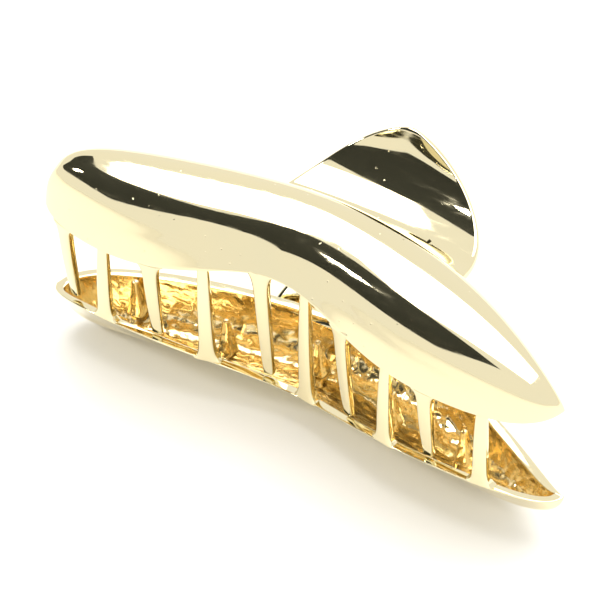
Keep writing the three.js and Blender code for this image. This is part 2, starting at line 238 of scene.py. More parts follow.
def skin(name, rings, slots=None, capped=True):
    """A closed body through rings of points, with its poles and seams welded."""
    count, around = rings.shape[:2]
    row = (np.arange(count - 1) * around)[:, None]
    here = np.arange(around)[None, :]
    after = (here + 1) % around
    faces = np.stack([row + here, row + after, row + around + after, row + around + here], -1)
    faces = faces.reshape(-1, 4).tolist()
    points = rings.reshape(-1, 3).tolist()
    if capped:
        for first, ring in ((0, rings[0]), ((count - 1) * around, rings[-1])):
            points.append(ring.mean(axis=0).tolist())
            faces += [[first + i, first + (i + 1) % around, len(points) - 1] for i in range(around)]
    mesh = bpy.data.meshes.new(name)
    mesh.from_pydata(points, [], faces)
    if slots is not None:
        mesh.polygons.foreach_set("material_index", np.tile(slots, count - 1))
    tidy(mesh)
    return mesh


def tidy(mesh):
    """Welds doubled corners, drops faces without area, turns faces outwards and smooths them."""
    body = bmesh.new()
    body.from_mesh(mesh)
    bmesh.ops.remove_doubles(body, verts=body.verts, dist=mm(0.002))
    bmesh.ops.dissolve_degenerate(body, edges=body.edges, dist=mm(0.001))
    bmesh.ops.recalc_face_normals(body, faces=body.faces)
    body.to_mesh(mesh)
    body.free()
    mesh.polygons.foreach_set("use_smooth", [True] * len(mesh.polygons))


def join(name, meshes, finishes):
    """One mesh from several, each with its own finishes."""
    body = bmesh.new()
    for mesh in meshes:
        own = [finishes.index(finish) if finish else 0 for finish in mesh.materials]
        if own:
            indices = np.zeros(len(mesh.polygons), int)
            mesh.polygons.foreach_get("material_index", indices)
            mesh.polygons.foreach_set("material_index", np.array(own)[indices])
        body.from_mesh(mesh)
        bpy.data.meshes.remove(mesh)
    joined = bpy.data.meshes.new(name)
    body.to_mesh(joined)
    body.free()
    for finish in finishes:
        joined.materials.append(finish)
    joined.polygons.foreach_set("use_smooth", [True] * len(joined.polygons))
    return joined


def mirror(mesh):
    """Turns the mesh into its mirror image in the parting plane, faces still outwards."""
    mesh.transform(Matrix.Scale(-1, 4, (0, 0, 1)))
    mesh.flip_normals()


def place(mesh, body, nodes):
    """Puts a finished mesh in the scene as a piece that rides on a body."""
    piece = bpy.data.objects.new(mesh.name, mesh)
    bpy.context.scene.collection.objects.link(piece)
    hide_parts(*nodes)
    if body is not None:
        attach(piece, body)
    return piece


# ---- Geometry Nodes ------------------------------------------------------------------------


def node(tree, kind, inputs=None, **settings):
    """Adds a node with its settings; each input is a value or the socket that feeds it."""
    made = tree.nodes.new(kind)
    for key, value in settings.items():
        setattr(made, key, value)
    for key, value in (inputs or {}).items():
        if isinstance(value, bpy.types.NodeSocket):
            tree.links.new(value, made.inputs[key])
        else:
            made.inputs[key].default_value = value
    return made


def group(name, inputs):
    """A Geometry Nodes tree with named inputs."""
    tree = bpy.data.node_groups.new(name, "GeometryNodeTree")
    tree.interface.new_socket("Geometry", in_out="INPUT", socket_type="NodeSocketGeometry")
    for label, kind in inputs.items():
        tree.interface.new_socket(label, in_out="INPUT", socket_type=kind)
    tree.interface.new_socket("Geometry", in_out="OUTPUT", socket_type="NodeSocketGeometry")
    return tree


def run_group(tree, mesh, values):
    """Runs a tree on a mesh with these inputs and returns the result as a plain mesh."""
    carrier = bpy.data.objects.new(mesh.name, mesh)
    bpy.context.scene.collection.objects.link(carrier)
    modifier = carrier.modifiers.new(tree.name, "NODES")
    modifier.node_group = tree
    for item in tree.interface.items_tree:
        if item.item_type == "SOCKET" and item.name in values:
            modifier[item.identifier] = values[item.name]
    evaluated = carrier.evaluated_get(bpy.context.evaluated_depsgraph_get())
    result = bpy.data.meshes.new_from_object(evaluated)
    bpy.data.objects.remove(carrier)
    bpy.data.meshes.remove(mesh)
    return result


def teeth_group():
    """Stands a copy of one tooth on every point, as long and as turned as the point says."""
    tree = group("Teeth along a rim", {"Tooth": "NodeSocketObject", "Girth": "NodeSocketFloat",
                                       "Finish": "NodeSocketMaterial"})
    given = node(tree, "NodeGroupInput").outputs
    points = node(tree, "GeometryNodeMeshToPoints", {"Mesh": given["Geometry"]})
    length = node(tree, "GeometryNodeInputNamedAttribute", {"Name": "length"}, data_type="FLOAT")
    stretch = node(tree, "ShaderNodeCombineXYZ", {
        "X": given["Girth"], "Y": given["Girth"], "Z": length.outputs["Attribute"]})
    turn = node(tree, "GeometryNodeInputNamedAttribute", {"Name": "turn"}, data_type="FLOAT")
    facing = node(tree, "ShaderNodeCombineXYZ", {"Z": turn.outputs["Attribute"]})
    tooth = node(tree, "GeometryNodeObjectInfo", {"Object": given["Tooth"]})
    copies = node(tree, "GeometryNodeInstanceOnPoints", {
        "Points": points.outputs["Points"], "Instance": tooth.outputs["Geometry"],
        "Rotation": facing.outputs["Vector"], "Scale": stretch.outputs["Vector"]})
    real = node(tree, "GeometryNodeRealizeInstances", {"Geometry": copies.outputs["Instances"]})
    done = node(tree, "GeometryNodeSetMaterial", {
        "Geometry": real.outputs["Geometry"], "Material": given["Finish"]})
    node(tree, "NodeGroupOutput", {"Geometry": done.outputs["Geometry"]})
    return tree


def wire_group():
    """Draws a round wire along a line of points and notes how far along and around it each point lies."""
    tree = group("Wire along a path", {"Radius": "NodeSocketFloat", "Sides": "NodeSocketInt",
                                       "Finish": "NodeSocketMaterial"})
    given = node(tree, "NodeGroupInput").outputs
    path = node(tree, "GeometryNodeMeshToCurve", {"Mesh": given["Geometry"]})
    along = node(tree, "GeometryNodeSplineParameter")
    marked = node(tree, "GeometryNodeStoreNamedAttribute", {
        "Geometry": path.outputs["Curve"], "Name": "along", "Value": along.outputs["Length"]},
        data_type="FLOAT", domain="POINT")
    ring = node(tree, "GeometryNodeCurvePrimitiveCircle", {
        "Resolution": given["Sides"], "Radius": given["Radius"]})
    around = node(tree, "GeometryNodeStoreNamedAttribute", {
        "Geometry": ring.outputs["Curve"], "Name": "around", "Value": along.outputs["Factor"]},
        data_type="FLOAT", domain="POINT")
    tube = node(tree, "GeometryNodeCurveToMesh", {
        "Curve": marked.outputs["Geometry"], "Profile Curve": around.outputs["Geometry"],
        "Fill Caps": True})
    real = node(tree, "GeometryNodeRealizeInstances", {"Geometry": tube.outputs["Mesh"]})
    done = node(tree, "GeometryNodeSetMaterial", {
        "Geometry": real.outputs["Geometry"], "Material": given["Finish"]})
    node(tree, "NodeGroupOutput", {"Geometry": done.outputs["Geometry"]})
    return tree


# ---- Shape of one jaw, about the pin and the parting plane -----------------------------------

# In these functions s, t, l and h are the settings of the shell, teeth, lever and hinge. c runs along the
# shell, from -1 at its left end to 1 at its right.

# Places of the teeth, as shares of the length from the middle
UPPER_TEETH = [-0.448, -0.268, -0.074, 0.095, 0.274]
LOWER_TEETH = [-0.368, -0.176, 0.0055, 0.188, 0.377]
INNER_TEETH = [-0.388, -0.211, -0.046, 0.125, 0.279]

# Sections of the shells: share of the depth from the tooth edge, and share of the rise. The upper face
# rises steeply to a soft ridge; the lower one leans back at about 45 degrees.
BACK = [(0.63, 1), (0.83, 0.86), (0.96, 0.48), (1, 0)]
UPPER_SECTION = smooth_path([(0, 0), (0.1, 0.4), (0.2, 0.72), (0.32, 0.9), (0.46, 0.97)] + BACK)
LOWER_SECTION = smooth_path([(0, 0), (0.24, 0.45), (0.42, 0.8)] + BACK)

OUTSIDE_ROWS = 72
INSIDE_ROWS = 96
OUTER_ROUND_STEPS = 6
INNER_ROUND_STEPS = 4
COLUMNS = 280
TOOTH_SIDES = 28
POST_SIDES = 24
POLISHED, HAMMERED = 0, 1

TIP_ROUND = mm(0.7)         # height of the rounded end of a long tooth
POST_ROUND = 0.06           # the same on an inner tooth, as a share of its height
ROOT_THINNING = 0.65        # how much of a root's depth is gone at its far end, inside the wall
ROOT_PLACE = 0.8            # start of an inner tooth below the outside, as a share of the wall
ROOT_BACK = 0.6             # just past the back edge of an inner tooth, as a share of its base
HAMMER_MARGIN = mm(1.2)     # strip beside the rims over which the hammer marks fade
LEAF_FULL = 1.8             # how late the lever's outline starts to narrow
LEAF_POINT = 0.68           # how round its tip is; half is round and 1 is pointed
LEAF_FOLLOW = 0.4           # share of the lever over which it still follows the curved back edge
PART_TURN = 0.3             # part of a turn beyond the full ones, in the length of the coil


def lerp(a, b, t):
    return a + (b - a) * t


def openness(c):
    """How far the outline has opened at c: 0 at the ends, 1 in the middle."""
    return np.sqrt(np.maximum(0, 1 - c ** 6))


def front_y(s, c):
    """Tooth edge of the outline at c."""
    reach = lerp(s.left_reach, s.right_reach, (c + 1) / 2)
    arch = s.head_arch * np.exp(-((c / 2 - s.arch_centre) / s.arch_width) ** 2)
    return lerp(-reach, -s.front_reach, openness(c)) + arch * openness(c)


def back_y(s, c):
    """Back edge of the outline at c."""
    reach = lerp(s.left_reach, s.right_reach, (c + 1) / 2)
    taper = lerp(s.left_taper, s.right_taper, (c + 1) / 2)
    return lerp(-reach, -s.back_set, np.maximum(0, 1 - c * c) ** taper)


def edge_z(s, c, across):
    """Height of the jaw's edge above the parting plane."""
    front = s.edge_gap + s.edge_rise * np.exp(-((c / 2 - s.arch_centre) / s.arch_width) ** 2)
    return lerp(lerp(front, s.back_gap, across), s.tip_gap, c ** 8)


def shell_surface(s, section, c, along, inset):
    """Points of the shell: along is 0 at the tooth edge and 1 at the back; inset 0 is the outside."""
    across, rise = np.moveaxis(section(along), -1, 0)
    front = front_y(s, c) + inset * openness(c)
    back = back_y(s, c) - inset * openness(c)
    edge = edge_z(s, c, across)
    dome = np.where(c < 0, s.left_dome, s.right_dome)
    lift = (s.half_height - inset - edge) * np.sqrt(np.maximum(0, 1 - np.abs(c) ** dome))
    x = c * (s.length / 2 - inset) + 0 * along
    return np.stack([x, lerp(front, back, across), edge + lift * rise], -1)


def scatter(i, j, seed):
    """A number from 0 to 1 that looks random but is the same on every run."""
    wave = np.sin(i * 127.1 + j * 311.7 + seed * 74.7) * 43758.5453
    return wave - np.floor(wave)


def hammer_marks(x, y):
    """Depth, from 0 to 1, of a field of shallow round marks about one unit apart."""
    nearest = np.full(np.shape(x), 9.0)
    for di in (-1, 0, 1):
        for dj in (-1, 0, 1):
            i, j = np.floor(x) + di, np.floor(y) + dj
            away = np.hypot(i + scatter(i, j, 1) - x, j + scatter(i, j, 2) - y)
            nearest = np.minimum(nearest, away)
    return np.clip(1 - (nearest / 0.8) ** 2, 0, 1)


def hammered(s, inside):
    """The inside of the shell with hammer marks sunk into the wall."""
    slope = np.cross(np.gradient(inside, axis=0), np.gradient(inside, axis=1))
    slope *= np.sign(slope[..., 2:]) / np.maximum(np.linalg.norm(slope, axis=-1, keepdims=True), 1e-12)
    steps = np.linalg.norm(np.diff(inside, axis=1), axis=-1)
    across = np.concatenate([np.zeros((len(inside), 1)), np.cumsum(steps, axis=1)], axis=1)
    rim = np.minimum(across, across[:, -1:] - across) / HAMMER_MARGIN
    marks = hammer_marks(inside[..., 0] / s.mark_size, across / s.mark_size)
    return inside + slope * (s.mark_depth * marks * np.clip(rim, 0, 1))[..., None]


def shell_mesh(s, section):
    """The dome of one jaw, with rounded rims and a hammered inside."""
    c = -np.cos(np.pi * np.linspace(0, 1, COLUMNS + 1))[:, None]
    rough = shell_surface(s, section, c, np.linspace(0, 1, 40)[None, :], 0)
    girth = np.linalg.norm(np.diff(rough, axis=1), axis=-1).sum(axis=1, keepdims=True)
    margin = np.minimum(0.1, s.rim_round / np.maximum(girth, mm(1)))
    rows = lerp(margin, 1 - margin, np.linspace(0, 1, OUTSIDE_ROWS)[None, :])
    outside = shell_surface(s, section, c, rows, 0)
    rows = lerp(margin / 2, 1 - margin / 2, np.linspace(0, 1, INSIDE_ROWS)[None, :])
    inside = hammered(s, shell_surface(s, section, c, rows, s.wall))
    outer, inner = {}, {}
    for end in (0, 1):
        sharp_out = shell_surface(s, section, c, end + 0 * c, 0)[:, 0]
        sharp_in = shell_surface(s, section, c, end + 0 * c, s.wall)[:, 0]
        wall = sharp_in - sharp_out
        wide = np.maximum(np.linalg.norm(wall, axis=1, keepdims=True), 1e-9)
        turn = np.minimum(s.rim_round, 0.35 * wide)
        outer[end] = corner(outside[:, -end], sharp_out, sharp_out + wall / wide * turn, OUTER_ROUND_STEPS)
        inner[end] = corner(inside[:, -end], sharp_in, sharp_in - wall / wide * turn / 2, INNER_ROUND_STEPS)
    rings = np.concatenate([
        outside, outer[1][:, 1:], inner[1][:, :0:-1],
        inside[:, ::-1], inner[0][:, 1:], outer[0][:, :0:-1]], axis=1)
    slots = np.full(rings.shape[1], POLISHED)
    first = OUTSIDE_ROWS + OUTER_ROUND_STEPS - 1 + INNER_ROUND_STEPS - 1
    slots[first:first + INSIDE_ROWS] = HAMMERED
    return skin("shell", rings, slots, capped=False)


def super_ring(width, depth, sharpness, points):
    """A rounded rectangle about the origin, as x and y; a higher sharpness has tighter corners."""
    turn = np.linspace(0, 2 * math.pi, points, endpoint=False) + math.pi / points
    x, y = np.cos(turn), np.sin(turn)
    power = 2 / sharpness
    across, deep = (np.sign(v) * np.abs(v) ** power / 2 for v in (x, y))
    return np.stack([across * width, deep * depth], -1)


def rounded_tip(ring, height, narrow, steps):
    """Rings that round off a tip below its last ring, down to a share of its width."""
    middle = ring.mean(axis=0)
    rings = []
    for turn in np.linspace(0, 0.5 * math.pi, steps)[1:]:
        smaller = middle + (ring - middle) * lerp(narrow, 1, math.cos(turn))
        smaller[:, 2] = middle[2] - math.sin(turn) * height
        rings.append(smaller)
    return rings


def tooth_mesh(t, embed, drop):
    """One long tooth, of unit length, hanging from the origin with its front at y = 0."""
    tip = TIP_ROUND / drop
    below = np.r_[np.linspace(-embed / drop, 0, 12)[:-1], np.linspace(0, 1, 40) ** 1.5 * (1 - tip)]
    rings = []
    for value in below:
        down = max(0, value)
        flare = 1 + t.flare * math.exp(-down * drop / t.flare_fade)
        taper = lerp(1, t.tip, down ** 2)
        sunk = -min(0, value) * drop / embed
        recess = sunk * t.recess
        gusset = t.gusset * math.exp(-down * drop / t.gusset_fade)
        depth = (t.depth * taper + gusset) * (1 - ROOT_THINNING * sunk)
        flat = super_ring(t.width * flare * taper, depth, 4, TOOTH_SIDES)
        front = t.curl * down ** 2 + recess
        rings.append(np.c_[flat[:, 0], flat[:, 1] + front + depth / 2, np.full(TOOTH_SIDES, -value)])
    return skin("tooth", np.array(rings + rounded_tip(rings[-1], tip, 0.25, 7)))


def post_mesh(t):
    """One short inner tooth: a slim pyramid with soft edges, pointing down from the origin."""
    rings = []
    for down in np.linspace(0, 1 - POST_ROUND, 20):
        girth = lerp(t.post_base, t.post_top, down) + mm(0.3) * math.exp(-14 * down)
        flat = super_ring(girth, girth, 3.4, POST_SIDES)
        rings.append(np.c_[flat, np.full(POST_SIDES, -down * t.post_height)])
    return skin("inner tooth", np.array(rings + rounded_tip(rings[-1], POST_ROUND * t.post_height, 0.2, 6)))


def ceiling(s, section, c, across):
    """Lowest height in the wall, just above its inner face, over these shares of the shell's depth."""
    along = np.linspace(0, 1, 800)
    at = np.interp(across, section(along)[:, 0], along)
    return shell_surface(s, section, np.array([c]), at, ROOT_PLACE * s.wall)[:, 2].min()


def stand_teeth(template, places, lengths, turns, finish):
    """Copies of one tooth at these places, through Geometry Nodes."""
    pattern = bpy.data.objects.new(template.name, template)
    bpy.context.scene.collection.objects.link(pattern)
    points = bpy.data.meshes.new("teeth")
    points.from_pydata(places, [], [])
    for key, values in (("length", lengths), ("turn", turns)):
        points.attributes.new(key, "FLOAT", "POINT").data.foreach_set("value", values)
    teeth = run_group(teeth_group(), points, {"Tooth": pattern, "Girth": 1.0, "Finish": finish})
    bpy.data.objects.remove(pattern)
    bpy.data.meshes.remove(template)
    return teeth


def long_teeth(s, t, embed, shares, finish):
    """The long teeth of one jaw, each facing square to the outline where it stands."""
    places, lengths, turns = [], [], []
    step = t.width / s.length
    for place_share in shares:
        c = 2 * place_share
        top = float(edge_z(s, c, 0))
        places.append((place_share * s.length, float(front_y(s, c)), top))
        lengths.append(2 * top - t.clearance)
        turns.append(math.atan2(front_y(s, c + step) - front_y(s, c - step), t.width))
    return stand_teeth(tooth_mesh(t, embed, float(np.mean(lengths))), places, lengths, turns, finish)


def inner_teeth(s, t, section, finish):
    """The short inner teeth of one jaw. The root is low enough to stay inside a wall that falls back."""
    places = []
    for place_share in INNER_TEETH:
        c = 2 * place_share
        front = float(front_y(s, c))
        footprint = np.array([0, ROOT_BACK]) * t.post_base + t.post_setback
        root = ceiling(s, section, c, footprint / (float(back_y(s, c)) - front))
        places.append((place_share * s.length, front + t.post_setback, float(root)))
    count = len(places)
    return stand_teeth(post_mesh(t), places, [1.0] * count, [0.0] * count, finish)


def lever_profile(s, l):
    """Middle of the lever's sheet, as y and z, from inside the back wall to the tip."""
    valley = s.back_gap - l.valley_drop
    tip = s.half_height - 0.35 * l.thickness
    rise = tip - valley
    return smooth_path([
        (-s.back_set - l.root, valley + 0.18 * rise), (0.07 * l.reach, valley),
        (0.45 * l.reach, valley + 0.09 * rise), (0.78 * l.reach, valley + 0.48 * rise), (l.reach, tip)])


def lever_mesh(s, l):
    """The thumb lever: a dished leaf with rounded edges."""
    profile = lever_profile(s, l)
    soft = 0.7 * l.thickness / 2
    around = np.sin(np.linspace(-0.5, 0.5, 49) * math.pi)
    rings = []
    for v in np.linspace(0, 1, 90):
        along = 1 - (1 - v) ** 2
        middle = profile(along)
        ahead, behind = profile(min(1, along + 0.004)), profile(max(0, along - 0.004))
        tangent = (ahead - behind) / np.linalg.norm(ahead - behind)
        half = l.width / 2 * max(0, 1 - along ** LEAF_FULL) ** LEAF_POINT
        dish = l.dish * min(1, 2 * along) * half / (l.width / 2)
        follow = max(0, 1 - along / LEAF_FOLLOW) ** 2
        x = l.centre + l.skew * along ** 2 + around * half
        shift = (back_y(s, x / (s.length / 2)) - back_y(s, l.centre / (s.length / 2))) * follow
        side_room = half * (1 - np.abs(around))
        tip_room = (1 - along) * l.reach * 1.4
        room = side_room * tip_room / np.maximum(side_room + tip_room, 1e-9)
        thick = l.thickness / 2 * np.sqrt(1 - (1 - np.minimum(1, room / soft)) ** 2)
        ring = []
        for side in (1, -1):
            lift = side * thick - dish * (1 - around ** 2)
            face = np.stack([x, middle[0] + shift - tangent[1] * lift, middle[1] + tangent[0] * lift], -1)
            ring.append(face if side > 0 else face[::-1])
        rings.append(np.concatenate(ring))
    return skin("lever", np.array(rings))


def hinge_places(h):
    """Length of the coil, and where the lugs and the head start, from the middle of the hinge."""
    coil = (h.full_turns + PART_TURN) * (2 * h.wire_radius + h.turn_gap)
    lower_lug = coil / 2 + h.wire_radius + h.side_gap
    upper_lug = lower_lug + h.lug_thickness + h.side_gap
    head = upper_lug + h.lug_thickness + h.side_gap
    return coil, lower_lug, upper_lug, head


def lug_mesh(s, h, start):
    """One ear from the pin up into the lever's root, with its bore and softened edges."""
    bore = h.pin_radius + h.pin_clearance
    eye = bore + h.lug_wall
    soft = mm(0.3)
    sunk = mm(0.9)
    outline = [(eye, 0), (eye + mm(1), s.back_gap - soft), (-s.back_set - sunk, s.back_gap + sunk), (-eye, 0)]
    rings = []
    for turn in np.linspace(0, 2 * math.pi, 97):
        y, z = math.cos(turn), math.sin(turn)
        radius = eye
        if 0 < turn < math.pi:
            hits = []
            for (y0, z0), (y1, z1) in zip(outline, outline[1:]):
                cross = y * (z1 - z0) - z * (y1 - y0)
                if abs(cross) > 1e-12:
                    reach = (y0 * (z1 - z0) - z0 * (y1 - y0)) / cross
                    part = (y0 * z - z0 * y) / cross
                    if reach > 0 and -1e-9 <= part <= 1 + 1e-9:
                        hits.append(reach)
            radius = max(hits) if hits else eye
        near = [(bore, soft / 2), (bore + soft / 2, 0), (radius - soft, 0),
                (radius - 0.3 * soft, 0.3 * soft), (radius, soft)]
        far = [(r, h.lug_thickness - x) for r, x in reversed(near)]
        rings.append([(start + x, r * y, r * z) for r, x in near + far])
    return skin("lug", np.array(rings), capped=False)


def turned_mesh(name, profile, steps):
    """A body turned about the x axis from pairs of (place along the axis, radius)."""
    turn = np.linspace(0, 2 * math.pi, steps + 1)
    p = np.array(profile)
    rings = np.stack([
        np.broadcast_to(p[:, 0], (steps + 1, len(p))),
        np.outer(np.cos(turn), p[:, 1]), np.outer(np.sin(turn), p[:, 1])], -1)
    return skin(name, np.swapaxes(rings, 0, 1)[:, :-1], capped=False)


def spring_path(s, l, h):
    """Middle line of the spring wire: leg, coil and leg, each leg leaving the coil on its tangent."""
    coil_length = hinge_places(h)[0]
    radius = h.pin_radius + h.coil_clearance + h.wire_radius
    line = lever_profile(s, l)(np.linspace(0, 1, 2000))
    leg_y = h.leg_reach * l.reach
    under = np.interp(leg_y, line[:, 0], line[:, 1]) - l.thickness / 2 - l.dish
    leg_z = under - h.leg_gap - h.wire_radius
    reach = math.hypot(leg_y, leg_z)
    leave = math.atan2(leg_z, leg_y) + math.acos(radius / reach)
    leg = math.sqrt(reach ** 2 - radius ** 2)
    sweep = 2 * math.pi * (h.full_turns + 1) - 2 * leave
    coil = sweep * radius
    along = np.linspace(-leg, coil + leg, 340)
    turned = np.clip(along / coil, 0, 1)
    past = along - turned * coil
    angle = -leave - turned * sweep
    return np.stack([
        (turned - 0.5) * coil_length, radius * np.cos(angle) + past * np.sin(angle),
        radius * np.sin(angle) - past * np.cos(angle)], -1)


# ---- Finishes ------------------------------------------------------------------------------


def finish(name, metallic, roughness):
    """A new material, with its tree and its main shader."""
    material = bpy.data.materials.new(name)
    material.use_nodes = True
    tree = material.node_tree
    tree.nodes.clear()
    shader = node(tree, "ShaderNodeBsdfPrincipled", {"Metallic": metallic, "Roughness": roughness})
    node(tree, "ShaderNodeOutputMaterial", {"Surface": shader.outputs["BSDF"]})
    return material, tree, shader


def per_mm(millimetres):
    """Texture scale whose cells are about this size, in object coordinates."""
    return 1 / mm(millimetres)


def opaque(colour_value):
    return (*colour_value, 1.0)


def polished_plate(look):
    """Gold-plated cast zinc alloy, mirror polished: pale gold with faint waves left by the casting."""
    material, tree, shader = finish("gold_plate_polished", 1.0, 0.06)
    at = node(tree, "ShaderNodeTexCoord").outputs["Object"]
    cloud = node(tree, "ShaderNodeTexNoise", {"Vector": at, "Scale": per_mm(14), "Detail": 2.0})
    mix = node(tree, "ShaderNodeMix", {
        0: cloud.outputs["Fac"], 6: opaque(look.plate), 7: opaque(look.plate_warm)}, data_type="RGBA")
    tree.links.new(mix.outputs[2], shader.inputs["Base Color"])
    # Hairline wear from handling, a fraction of a millimetre apart
    lines = node(tree, "ShaderNodeMapping", {"Vector": at, "Rotation": (0, 0, 0.3), "Scale": (0.12, 1, 1)})
    wear = node(tree, "ShaderNodeTexNoise", {
        "Vector": lines.outputs["Vector"], "Scale": per_mm(0.7), "Detail": 3.0})
    rough = node(tree, "ShaderNodeMapRange", {
        "Value": wear.outputs["Fac"], "From Min": 0.45, "From Max": 0.75, "To Min": 0.035, "To Max": 0.12})
    tree.links.new(rough.outputs["Result"], shader.inputs["Roughness"])
    # Casting waves a few millimetres long, and pits like pin pricks
    waves = node(tree, "ShaderNodeTexNoise", {"Vector": at, "Scale": per_mm(5), "Detail": 1.0})
    ripple = node(tree, "ShaderNodeBump", {
        "Height": waves.outputs["Fac"], "Strength": 0.25, "Distance": mm(0.06)})
    pores = node(tree, "ShaderNodeTexVoronoi", {"Vector": at, "Scale": per_mm(2.6)})
    prick = node(tree, "ShaderNodeMapRange", {
        "Value": pores.outputs["Distance"], "From Min": 0.03, "From Max": 0.075})
    pitted = node(tree, "ShaderNodeBump", {
        "Height": prick.outputs["Result"], "Normal": ripple.outputs["Normal"],
        "Strength": 0.5, "Distance": mm(0.06)})
    tree.links.new(pitted.outputs["Normal"], shader.inputs["Normal"])
    return material


def hammered_plate(look):
    """The same plating inside the shells, over a hammered skin that the mould leaves. Its deeper gold is
    painted light: it stands in for the light that bounces many times between the gold walls.
    """
    material, tree, shader = finish("gold_plate_hammered", 1.0, 0.16)
    at = node(tree, "ShaderNodeTexCoord").outputs["Object"]
    cloud = node(tree, "ShaderNodeTexNoise", {"Vector": at, "Scale": per_mm(6), "Detail": 3.0})
    # Painted light: the deeper gold stands in for the saturated light of many bounces inside the shell; the
    # warmer patches are random tone of the plating
    mix = node(tree, "ShaderNodeMix", {
        0: cloud.outputs["Fac"], 6: opaque(look.plate_deep_painted_bounce), 7: opaque(look.plate_warm)}, data_type="RGBA")
    tree.links.new(mix.outputs[2], shader.inputs["Base Color"])
    rough = node(tree, "ShaderNodeMapRange", {
        "Value": cloud.outputs["Fac"], "To Min": 0.08, "To Max": 0.22})
    tree.links.new(rough.outputs["Result"], shader.inputs["Roughness"])
    # Hammer facets about 1.6 mm across, with wrinkles a millimetre or two long over them
    bent = node(tree, "ShaderNodeTexNoise", {"Vector": at, "Scale": per_mm(2.2), "Detail": 2.0})
    facets = node(tree, "ShaderNodeTexVoronoi", {"Vector": at, "Scale": per_mm(1.6)}, feature="SMOOTH_F1")
    dents = node(tree, "ShaderNodeBump", {
        "Height": facets.outputs["Distance"], "Strength": 0.4, "Distance": mm(0.3)})
    creases = node(tree, "ShaderNodeBump", {
        "Height": bent.outputs["Fac"], "Normal": dents.outputs["Normal"],
        "Strength": 0.35, "Distance": mm(0.2)})
    tree.links.new(creases.outputs["Normal"], shader.inputs["Normal"])
    return material


def turned_plate(look):
    """Gold-plated steel rivet: fine rings left by turning, round the pin's axis."""
    material, tree, shader = finish("gold_plate_turned", 1.0, 0.12)
    shader.inputs["Base Color"].default_value = opaque(look.plate_warm)
    at = node(tree, "ShaderNodeTexCoord").outputs["Object"]
    centred = node(tree, "ShaderNodeMapping", {"Vector": at, "Location": tuple(-PIN)})
    rings = node(tree, "ShaderNodeTexWave", {
        "Vector": centred.outputs["Vector"], "Scale": per_mm(6), "Distortion": 0.4},
        wave_type="RINGS", rings_direction="X")
    rough = node(tree, "ShaderNodeMapRange", {
        "Value": rings.outputs["Fac"], "To Min": 0.08, "To Max": 0.2})
    tree.links.new(rough.outputs["Result"], shader.inputs["Roughness"])
    groove = node(tree, "ShaderNodeBump", {
        "Height": rings.outputs["Fac"], "Strength": 0.3, "Distance": mm(0.04)})
    tree.links.new(groove.outputs["Normal"], shader.inputs["Normal"])
    return material


def drawn_wire(look):
    """Hard-drawn spring steel: grey, with die lines that run along the wire."""
    material, tree, shader = finish("spring_steel_drawn", 1.0, 0.28)
    shader.inputs["Base Color"].default_value = opaque(look.steel)
    along = node(tree, "ShaderNodeAttribute", attribute_name="along").outputs["Fac"]
    around = node(tree, "ShaderNodeAttribute", attribute_name="around").outputs["Fac"]
    # Along the wire a cell is 8 mm long; around it there are about 20 lines
    unrolled = node(tree, "ShaderNodeCombineXYZ", {"X": along, "Y": around})
    scaled = node(tree, "ShaderNodeMapping", {
        "Vector": unrolled.outputs["Vector"], "Scale": (per_mm(8), 20, 1)})
    lines = node(tree, "ShaderNodeTexNoise", {
        "Vector": scaled.outputs["Vector"], "Scale": 1.0, "Detail": 3.0})
    rough = node(tree, "ShaderNodeMapRange", {
        "Value": lines.outputs["Fac"], "To Min": 0.16, "To Max": 0.42})
    tree.links.new(rough.outputs["Result"], shader.inputs["Roughness"])
    scored = node(tree, "ShaderNodeBump", {
        "Height": lines.outputs["Fac"], "Strength": 0.5, "Distance": mm(0.05)})
    tree.links.new(scored.outputs["Normal"], shader.inputs["Normal"])
    return material


def painted_card(name, code, roughness):
    """Painted card of the studio: matt, with the faint mottle of a roller."""
    material, tree, shader = finish(name, 0.0, roughness)
    shader.inputs["Base Color"].default_value = opaque(linear(code))
    at = node(tree, "ShaderNodeTexCoord").outputs["Object"]
    mottle = node(tree, "ShaderNodeTexNoise", {"Vector": at, "Scale": per_mm(40)})
    rough = node(tree, "ShaderNodeMapRange", {
        "Value": mottle.outputs["Fac"], "To Min": roughness - 0.05, "To Max": roughness + 0.05})
    tree.links.new(rough.outputs["Result"], shader.inputs["Roughness"])
    return material


def plating(make, name):
    """A finish by name, made on first use."""
    return bpy.data.materials.get(name) or make(bpy.context.scene.claw_clip_finish)


# ---- Operators -----------------------------------------------------------------------------


class CLIP_OT_jaws(Operator):
    """Cast the two jaws, each with its shell, teeth, thumb lever and hinge lugs"""

    bl_idname = "claw_clip.jaws"
    bl_label = "Cast Jaws"

    def execute(self, context):
        scene = context.scene
        s, t = scene.claw_clip_shell, scene.claw_clip_tooth
        l, h = scene.claw_clip_lever, scene.claw_clip_hinge
        outside = plating(polished_plate, "gold_plate_polished")
        inside = plating(hammered_plate, "gold_plate_hammered")
        _, lower_lug, upper_lug, _ = hinge_places(h)
        jaws = ((UPPER, UPPER_SECTION, UPPER_TEETH, t.upper_embed, upper_lug),
                (LOWER, LOWER_SECTION, LOWER_TEETH, t.lower_embed, lower_lug))
        for body, section, shares, embed, lug in jaws:
            shell = shell_mesh(s, section)
            shell.materials.append(outside)
            shell.materials.append(inside)
            parts = [shell, long_teeth(s, t, embed, shares, outside), inner_teeth(s, t, section, inside)]
            for mesh in (lever_mesh(s, l), lug_mesh(s, h, l.centre + lug),
                         lug_mesh(s, h, l.centre - lug - h.lug_thickness)):
                mesh.materials.append(outside)
                parts.append(mesh)
            jaw = join(f"{body}_jaw_casting", parts, [outside, inside])
            if body == LOWER:
                mirror(jaw)
            jaw.transform(Matrix.Translation((MIDDLE_X, PIN.y, PIN.z)))
            place(jaw, body, [f"{body}_jaw"])
        return {"FINISHED"}


